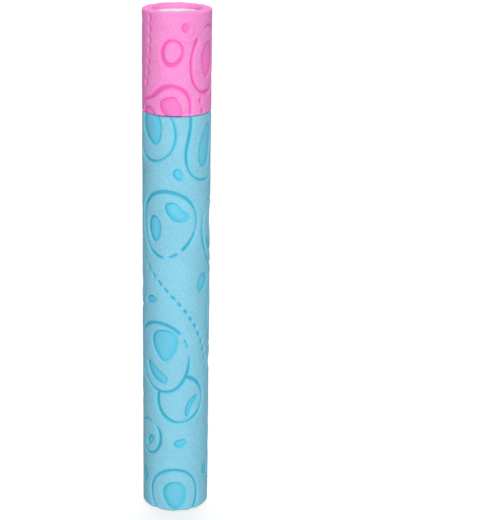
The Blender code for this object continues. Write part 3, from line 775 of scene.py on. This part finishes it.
def value_group(name, inputs, outputs):
    """An empty shader group with these inputs and outputs."""
    tree = bpy.data.node_groups.new(name, "ShaderNodeTree")
    for socket, (kind, value) in inputs.items():
        made = tree.interface.new_socket(socket, in_out="INPUT", socket_type="NodeSocket" + kind)
        made.default_value = value
    for socket, kind in outputs.items():
        tree.interface.new_socket(socket, in_out="OUTPUT", socket_type="NodeSocket" + kind)
    return tree, tree.nodes.new("NodeGroupInput").outputs, tree.nodes.new("NodeGroupOutput").inputs


def noise_of(tree, place, scale, detail, **more):
    inputs = {"Vector": place, "Scale": scale, "Detail": detail} | more
    return add_node(tree, "ShaderNodeTexNoise", inputs).outputs["Fac"]


grain_tree, given, result = value_group(
    "foam_grain", {"Cell size": ("Float", GRAIN_SIZE)}, {"Grain": "Float", "Blotch": "Float"}
)
where = add_node(grain_tree, "ShaderNodeTexCoord").outputs["Object"]
density = maths(grain_tree, "DIVIDE", 1.0, given["Cell size"])
blotch_density = maths(grain_tree, "MULTIPLY", density, BLOTCH_SHARE)
grain = noise_of(grain_tree, where, density, GRAIN_DETAIL, Roughness=GRAIN_HARSHNESS)
blotch = noise_of(grain_tree, where, blotch_density, GRAIN_DETAIL)
grain_tree.links.new(grain, result["Grain"])
grain_tree.links.new(blotch, result["Blotch"])
print(f"grain of {GRAIN_SIZE / MM:.1f} mm, blotches of {GRAIN_SIZE / BLOTCH_SHARE / MM:.0f} mm")

# %% Foam finish
# Press values at which the grain is gone, the pressed colour is full and the painted crease shade starts
FLAT_PRESS = 0.3
FULL_PRESS = 0.75
CREASE_SHADE_PRESS = 0.8
# The middle of the grain's values, and how far most of them lie from it
MIDDLE_NOISE = 0.5
GRAIN_SPREAD = 0.25
GRAIN_TINT = 0.1
GRAIN_SHADE = 0.085
BLOTCH_SHADE = 0.03
GRAIN_HEIGHT = 0.15 * MM
FOAM_SHINE = 0.16
# On raised foam, and where it is pressed flat
GRAIN_SEEN = (1.0, 0.15)
GRAIN_RELIEF = (0.25, 0.05)
FOAM_ROUGHNESS = (0.8, 0.55)


def new_material(name):
    """A material, its nodes and the inputs of its shader."""
    material = bpy.data.materials.new(name)
    material.use_nodes = True
    return material, material.node_tree, material.node_tree.nodes["Principled BSDF"].inputs


def mixed_colour(tree, share, first, second):
    """A mix of two colours, which this node takes at its inputs 6 and 7."""
    inputs = {"Factor": share, 6: first, 7: second}
    return add_node(tree, "ShaderNodeMix", inputs, data_type="RGBA").outputs[2]


def foam_material(name, raised, pressed, dense_and_crease_shade):
    """Foam in three colours: on top, where it is pressed, and painted crease shade in the deepest creases.
    """
    material, tree, shader = new_material(name)
    press = add_node(tree, "ShaderNodeAttribute", attribute_name="press").outputs["Fac"]
    grain = add_node(tree, "ShaderNodeGroup", node_tree=grain_tree).outputs

    def from_top(top, flat):
        return ramp(tree, press, 0.0, FLAT_PRESS, top, flat, "LINEAR")

    to_pressed = ramp(tree, press, 0.0, FULL_PRESS, shape="LINEAR")
    colour = mixed_colour(tree, to_pressed, (*raised, 1), (*pressed, 1))
    # Painted crease shade: past this press value the colour darkens where shade falls in creases and
    # grooves
    colour = mixed_colour(tree, ramp(tree, press, CREASE_SHADE_PRESS, 1.0), colour, (*dense_and_crease_shade, 1))
    off_middle = maths(tree, "SUBTRACT", grain["Grain"], MIDDLE_NOISE)
    speck = maths(tree, "MULTIPLY", off_middle, from_top(*GRAIN_SEEN))
    spread = (-GRAIN_SPREAD, GRAIN_SPREAD)
    tint = ramp(tree, speck, *spread, 1 + GRAIN_TINT, 1 - GRAIN_TINT, "LINEAR")
    shade = ramp(tree, speck, *spread, 1 - GRAIN_SHADE, 1 + GRAIN_SHADE, "LINEAR")
    blotch = ramp(tree, grain["Blotch"], *MOST_NOISE, 1 - BLOTCH_SHADE, 1 + BLOTCH_SHADE, "LINEAR")
    inputs = {"Saturation": tint, "Value": maths(tree, "MULTIPLY", shade, blotch), "Color": colour}
    colour = add_node(tree, "ShaderNodeHueSaturation", inputs).outputs[0]
    inputs = {"Strength": from_top(*GRAIN_RELIEF), "Distance": GRAIN_HEIGHT, "Height": grain["Grain"]}
    bump = add_node(tree, "ShaderNodeBump", inputs).outputs[0]
    tree.links.new(colour, shader["Base Color"])
    tree.links.new(bump, shader["Normal"])
    tree.links.new(from_top(*FOAM_ROUGHNESS), shader["Roughness"])
    shader["Specular IOR Level"].default_value = FOAM_SHINE
    print(name, "goes from", raised, "to", dense_and_crease_shade)
    return material


# %% Blue and pink foam
# The last colour of each foam is painted crease shade, darker than its pressed colour
blue_foam = foam_material(
    "blue_foam_finish", raised=(0.274, 0.662, 0.835), pressed=(0.11, 0.6, 0.82), dense_and_crease_shade=(0.045, 0.4, 0.55)
)
pink_foam = foam_material(
    "pink_foam_finish", raised=(0.995, 0.308, 0.692), pressed=(0.97, 0.195, 0.61), dense_and_crease_shade=(0.88, 0.11, 0.47)
)

# %% [markdown]
# ## Two finished sleeves
#
# Now the press can close. Both sleeves use the same rules, apart from their ends. The free ends are cut by
# hand and are rounder and less even than the two that meet at the joint. The blue sleeve is glued to the
# barrel. The pink one is glued to the handle, so it moves with the plunger. Both are soft all through.

# %% Rules of the press
# A point slides at most this share of a cell, so that none meets its neighbour
SNAP_SHARE = 0.48
PRESS_RULES = {
    "Radius": foam_radius,
    "Snap": SNAP_SHARE * CELL,
    "Depth": 1.1 * MM,
    "Wall": CELL,
    "Swell from": 2 * CELL,
    "Swell to": 4.0 * MM,
    "Crease": 0.55,
    "Soft crease": 0.08,
    "Groove press": 0.93,
    "Rim press": 0.74,
    "Middle press": 0.4,
    "Shoulder": 0.12,
    "Shoulder reach": 1.0 * MM,
    "Ripple": 0.5 * MM,
    "Ripple size": 14.0 * MM,
    "Seam depth": 0.8 * MM,
    "Seam half width": 0.7 * MM,
    "Wander size": 9.0 * MM,
    "End reach": 5.0 * MM,
}
print(f"pressed {PRESS_RULES['Depth'] / MM:.1f} mm deep")

# %% Press and roll both sleeves
FREE_ROUND = 1.1 * MM
FREE_WANDER = 1.6 * MM
UPPER_JOINT_ROUND = 0.5 * MM
LOWER_JOINT_ROUND = 1.2 * MM
JOINT_WANDER = 0.6 * MM
BORE_ROUND = 0.3 * MM


def pressed_sleeve(name, foot, length, rounds, wanders, die, foam):
    """A finished sleeve. Rounds and wanders are given for its foot and then for its top."""
    rows = sleeve_rows(length, *rounds, BORE_ROUND)
    carrier = plain_sleeve(name + "_plain", rows, foot)
    own = {"Die": die, "Foam": foam, "Length": length, "Foot wander": wanders[0], "Top wander": wanders[1]}
    made = linked(name, plain_mesh(carrier, press_tree, PRESS_RULES | own))
    bpy.data.objects.remove(die)
    print(name, len(made.data.polygons), "triangles")
    return made


body_sleeve = pressed_sleeve(
    "body_sleeve", body_low.z, body_length,
    (FREE_ROUND, LOWER_JOINT_ROUND), (FREE_WANDER, JOINT_WANDER), body_die, blue_foam,
)
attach(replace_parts(body_sleeve, "body_foam"), "barrel")
handle_sleeve = pressed_sleeve(
    "handle_sleeve", handle_low.z, handle_length,
    (UPPER_JOINT_ROUND, FREE_ROUND), (JOINT_WANDER, FREE_WANDER), handle_die, pink_foam,
)
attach(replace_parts(handle_sleeve, "handle_foam"), "plunger")

# %% [markdown]
# ## Moulded plastic and rubber
#
# The pump's hard pieces are moulded in white plastic and its seal in black rubber. A mould is filled from
# one place, so its surface keeps a faint drift of tone along the way that the melt ran, and a fine texture
# that makes the shine satin. One plain colour with an even gloss would be quicker, but new plastic never
# looks quite that even. The drift and the texture come from one group of nodes that plastic and rubber
# share, each with a grain of its own.

# %% Mould skin
PLASTIC_GRAIN = 1.2 * MM
FLOW_STRETCH = (0.1, 0.1, 0.02)
TONE_DETAIL = 3.0
SATIN_DETAIL = 4.0
HEIGHT_DETAIL = 1.0

skin_inputs = {"Grain size": ("Float", PLASTIC_GRAIN)}
skin_outputs = {"Tone": "Float", "Satin": "Float", "Height": "Float"}
skin_tree, given, result = value_group("mould_skin", skin_inputs, skin_outputs)
where = add_node(skin_tree, "ShaderNodeTexCoord").outputs["Object"]
density = maths(skin_tree, "DIVIDE", 1.0, given["Grain size"])
stretch = add_node(skin_tree, "ShaderNodeVectorMath", {0: where, 1: FLOW_STRETCH}, operation="MULTIPLY")
along_flow = stretch.outputs[0]
skin_tree.links.new(noise_of(skin_tree, along_flow, density, TONE_DETAIL), result["Tone"])
skin_tree.links.new(noise_of(skin_tree, where, density, SATIN_DETAIL), result["Satin"])
skin_tree.links.new(noise_of(skin_tree, where, density, HEIGHT_DETAIL), result["Height"])
print(skin_tree.name, "has", len(skin_tree.nodes), "nodes")

# %% Plastic and rubber finish
RUBBER_GRAIN = 0.8 * MM
SKIN_HEIGHT = 0.1 * MM


def moulded_finish(name, pale, dark, gloss, matt, grain_size, relief):
    """A moulded surface between two tones, and between two roughnesses."""
    material, tree, shader = new_material(name)
    skin = add_node(tree, "ShaderNodeGroup", {"Grain size": grain_size}, node_tree=skin_tree).outputs
    tone = mixed_colour(tree, ramp(tree, skin["Tone"], *MOST_NOISE), (*pale, 1), (*dark, 1))
    inputs = {"Strength": relief, "Distance": SKIN_HEIGHT, "Height": skin["Height"]}
    bump = add_node(tree, "ShaderNodeBump", inputs).outputs[0]
    tree.links.new(tone, shader["Base Color"])
    tree.links.new(ramp(tree, skin["Satin"], *MOST_NOISE, gloss, matt), shader["Roughness"])
    tree.links.new(bump, shader["Normal"])
    print(name, "roughness", gloss, "to", matt)
    return material


white_plastic = moulded_finish(
    "white_plastic_finish", pale=(0.83, 0.82, 0.85), dark=(0.78, 0.775, 0.81),
    gloss=0.34, matt=0.48, grain_size=PLASTIC_GRAIN, relief=0.12,
)
black_rubber = moulded_finish(
    "black_rubber_finish", pale=(0.03, 0.03, 0.033), dark=(0.018, 0.018, 0.02),
    gloss=0.5, matt=0.7, grain_size=RUBBER_GRAIN, relief=0.3,
)
for name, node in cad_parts.items():
    if not name.endswith("_foam"):
        for slot in node.material_slots:
            slot.material = black_rubber if name == "piston_seal" else white_plastic

# %% [markdown]
# ## Rounding the moulded edges
#
# No mould has a perfectly sharp corner, and it is the small round on an edge that catches the light. The
# pieces that can be seen from outside, or when the plunger is out, get that round. They arrive as thin
# triangles, on which a bevel would trip. So their flat faces are joined up again first. A bevel is nowhere
# wider than its tightest corner allows, so the few edges that end at a very short one are left sharp. A
# narrow bevel then goes along all the other sharp edges, and a weld joins the points that this leaves in
# one place. What stays inside the tubes does without.

# %% Whole flat faces
FLAT_ANGLE = math.radians(1)
SAME_PLACE = 0.002 * MM


def on_cut(edge):
    """Whether an edge lies in one of the two upright planes that quarter a piece."""
    return any(all(abs(end.co[axis]) < SAME_PLACE for end in edge.verts) for axis in (0, 1))


def on_straight(point):
    """Whether a point does no more than part a straight edge in two."""
    return len(point.link_edges) == 2 and point.calc_edge_angle() < FLAT_ANGLE


def joined_up(node):
    """A copy of a pump piece with whole flat faces. Quartering it first leaves no face with a hole."""
    shape = bmesh.new()
    shape.from_mesh(node.data)
    shape.transform(node.matrix_world)
    bmesh.ops.remove_doubles(shape, verts=shape.verts, dist=SAME_PLACE)
    for across in ((1, 0, 0), (0, 1, 0)):
        whole = shape.verts[:] + shape.edges[:] + shape.faces[:]
        bmesh.ops.bisect_plane(shape, geom=whole, dist=SAME_PLACE, plane_co=(0, 0, 0), plane_no=across)
    kept = {edge for edge in shape.edges if on_cut(edge)}
    kept_ends = {end for edge in kept for end in edge.verts}
    bmesh.ops.dissolve_limit(
        shape, angle_limit=FLAT_ANGLE,
        edges=[edge for edge in shape.edges if edge not in kept],
        verts=[end for end in shape.verts if end not in kept_ends],
    )
    bmesh.ops.dissolve_verts(shape, verts=[point for point in shape.verts if on_straight(point)])
    print(node.name, len(node.data.polygons), "triangles joined into", len(shape.faces), "faces")
    return shape


# %% Rounds on sharp edges
EDGE_ROUND = 0.22 * MM
ROUND_STEPS = 2
SHARP_ANGLE = math.radians(30)
SHORT_EDGE = 0.25 * MM


def mark_rounds(shape):
    """Marks every sharp edge for the bevel, apart from those that end at a very short one."""
    short = [edge for edge in shape.edges if edge.calc_length() < SHORT_EDGE]
    short_ends = {end for edge in short for end in edge.verts}
    weight = shape.edges.layers.float.new("bevel_weight_edge")
    for edge in shape.edges:
        sharp = edge.calc_face_angle(0) > SHARP_ANGLE
        edge[weight] = float(sharp and short_ends.isdisjoint(edge.verts))


def moulded(node_name):
    """A pump piece with a small round on its sharp edges."""
    shape = joined_up(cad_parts[node_name])
    mark_rounds(shape)
    mesh = bpy.data.meshes.new(node_name + "_joined")
    shape.to_mesh(mesh)
    shape.free()
    mesh.shade_smooth()
    carrier = linked(node_name + "_joined", mesh)
    bevel = carrier.modifiers.new("round", "BEVEL")
    bevel.width = EDGE_ROUND
    bevel.segments = ROUND_STEPS
    bevel.limit_method = "WEIGHT"
    bevel.harden_normals = True
    weld = carrier.modifiers.new("weld", "WELD")
    weld.merge_threshold = SAME_PLACE
    bpy.context.view_layer.update()
    graph = bpy.context.evaluated_depsgraph_get()
    rounded = bpy.data.meshes.new_from_object(
        carrier.evaluated_get(graph), preserve_all_data_layers=True, depsgraph=graph
    )
    bpy.data.objects.remove(carrier)
    rounded.materials.clear()
    rounded.materials.append(white_plastic)
    print(node_name, len(rounded.polygons), "faces with its rounds")
    return linked(node_name + "_moulding", rounded)


# %% Moulded pieces
MOULDED = {
    "nozzle_plug": "barrel",
    "guide_collar": "barrel",
    "plunger_rod": "plunger",
    "handle_base_plug": "plunger",
    "handle_end_cap": "plunger",
    "rod_stopper": "plunger",
}
for node_name, body in MOULDED.items():
    piece = moulded(node_name)
    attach(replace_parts(piece, node_name), body)

# %% [markdown]
# ## Floor and backdrop
#
# The squirter stands on white paper that shows nothing but a soft shadow. Paper that is truly white would
# throw almost as much light back at the foam as the lamps do, and wash its colours out. So the paper has
# two tones: the camera sees white, and the foam gets the light of a mid grey. A light path node tells the
# two apart. The backdrop works in the same way: white to look at, and nearly dark as a source of light.

# %% Paper with two tones
WHITE = (1, 1, 1, 1)
PAPER_SEEN = 0.42
PAPER_GLOW = 0.685
PAPER_LIT = 0.3
PAPER_ROUGHNESS = 0.9


def seen_share(tree):
    """1 for what the camera sees, straight or by a reflection, and 0 for what only gives light."""
    path = add_node(tree, "ShaderNodeLightPath").outputs
    mirrored = maths(tree, "MAXIMUM", path["Is Glossy Ray"], path["Is Transmission Ray"])
    return maths(tree, "MAXIMUM", path["Is Camera Ray"], mirrored)


def grey(level):
    return (level, level, level, 1)


paper, tree, shader = new_material("floor_paper")
seen = seen_share(tree)
tree.links.new(mixed_colour(tree, seen, grey(PAPER_LIT), grey(PAPER_SEEN)), shader["Base Color"])
tree.links.new(maths(tree, "MULTIPLY", seen, PAPER_GLOW), shader["Emission Strength"])
shader["Emission Color"].default_value = WHITE
shader["Roughness"].default_value = PAPER_ROUGHNESS
shader["Specular IOR Level"].default_value = 0.0
print(paper.name, "has", len(tree.nodes), "nodes")

# %% Floor
FLOOR_HALF = 4.0
FLOOR_DROP = 0.2 * MM

floor_mesh = bpy.data.meshes.new("floor")
floor_corners = [(x * FLOOR_HALF, y * FLOOR_HALF, 0) for x, y in ((-1, -1), (1, -1), (1, 1), (-1, 1))]
floor_mesh.from_pydata(floor_corners, [], [(0, 1, 2, 3)])
floor_mesh.materials.append(paper)
floor = linked("floor", floor_mesh)
floor.location.z = -FLOOR_DROP
floor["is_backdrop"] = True
print(f"floor {2 * FLOOR_HALF:.0f} m wide")

# %% Backdrop
SKY_LIGHT = 0.06

world = bpy.data.worlds.new("studio")
bpy.context.scene.world = world
world.use_nodes = True
tree = world.node_tree
tree.nodes.clear()
sky = add_node(tree, "ShaderNodeBackground", {"Color": WHITE, "Strength": SKY_LIGHT}).outputs[0]
backdrop = add_node(tree, "ShaderNodeBackground", {"Color": WHITE, "Strength": 1.0}).outputs[0]
mixed = add_node(tree, "ShaderNodeMixShader", {0: seen_share(tree), 1: sky, 2: backdrop}).outputs[0]
add_node(tree, "ShaderNodeOutputWorld", {"Surface": mixed})
print("sky light", SKY_LIGHT)

# %% [markdown]
# ## Lamps
#
# The photo has no hard shadow and no hard highlight, so it was lit with large soft lamps. A sun lamp with a
# wide angle does the same. Unlike an area lamp it lights the whole length of the squirter evenly, wherever
# the plunger stands. The key comes from the camera's side, just above level. One lamp high at the back
# brightens the cut top of the handle and lays the soft shadow in front of the foot. Two weak ones from
# behind keep the foam's sides from going dark.

# %% Lamps
def sun(name, strength, azimuth, elevation, spread):
    """A soft distant lamp. Azimuth 0 is the camera's side and 90 is the right. Spread softens it."""
    light = bpy.data.lights.new(name, "SUN")
    light.energy = strength
    light.angle = math.radians(spread)
    made = linked(name, light)
    made.rotation_euler = (math.radians(90 - elevation), 0, math.radians(azimuth))
    print(name, "lamp", strength)


sun("key", strength=2.95, azimuth=2, elevation=14, spread=45)
sun("right", strength=0.7, azimuth=128, elevation=14, spread=40)
sun("left", strength=0.5, azimuth=-130, elevation=14, spread=40)
sun("top", strength=1.9, azimuth=180, elevation=62, spread=40)

# %% [markdown]
# ## Camera
#
# The photo looks a little down on the squirter from about its own length three times over. The rounds of
# the top and the foot gave the camera's height, and the way that the sides draw together gave its
# distance. The squirter stands left of the middle. Turning the camera away would tip it over, so the lens
# is shifted sideways instead.

# %% Camera
SENSOR_WIDTH = 36
LENS = 107.35
SIDE_SHIFT = 0.1382
CAMERA_PLACE = (0, -0.876, 0.4435)
TILT = math.radians(71.82)
ROLL = math.radians(0.19)

camera_data = bpy.data.cameras.new("camera")
camera_data.sensor_width = SENSOR_WIDTH
camera_data.lens = LENS
camera_data.shift_x = SIDE_SHIFT
camera = linked("camera", camera_data)
camera.location = CAMERA_PLACE
camera.rotation_euler = (Matrix.Rotation(TILT, 3, "X") @ Matrix.Rotation(ROLL, 3, "Z")).to_euler()
bpy.context.scene.camera = camera
bpy.context.scene.view_settings.view_transform = "Standard"
print(f"camera {camera.location.length / MM:.0f} mm from the foot")

# %% [markdown]
# ## Size
#
# The finished pieces take the place of the pump's plain ones, so the squirter has to stay as big as it
# was. Both sizes are printed, so that they can be compared.

# %% Print the size before and after
size_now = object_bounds()
sizes = {"before": size_at_start, "after": size_now}
for name, (low, high) in sizes.items():
    print("size", name, [round(value / MM, 1) for value in high - low])
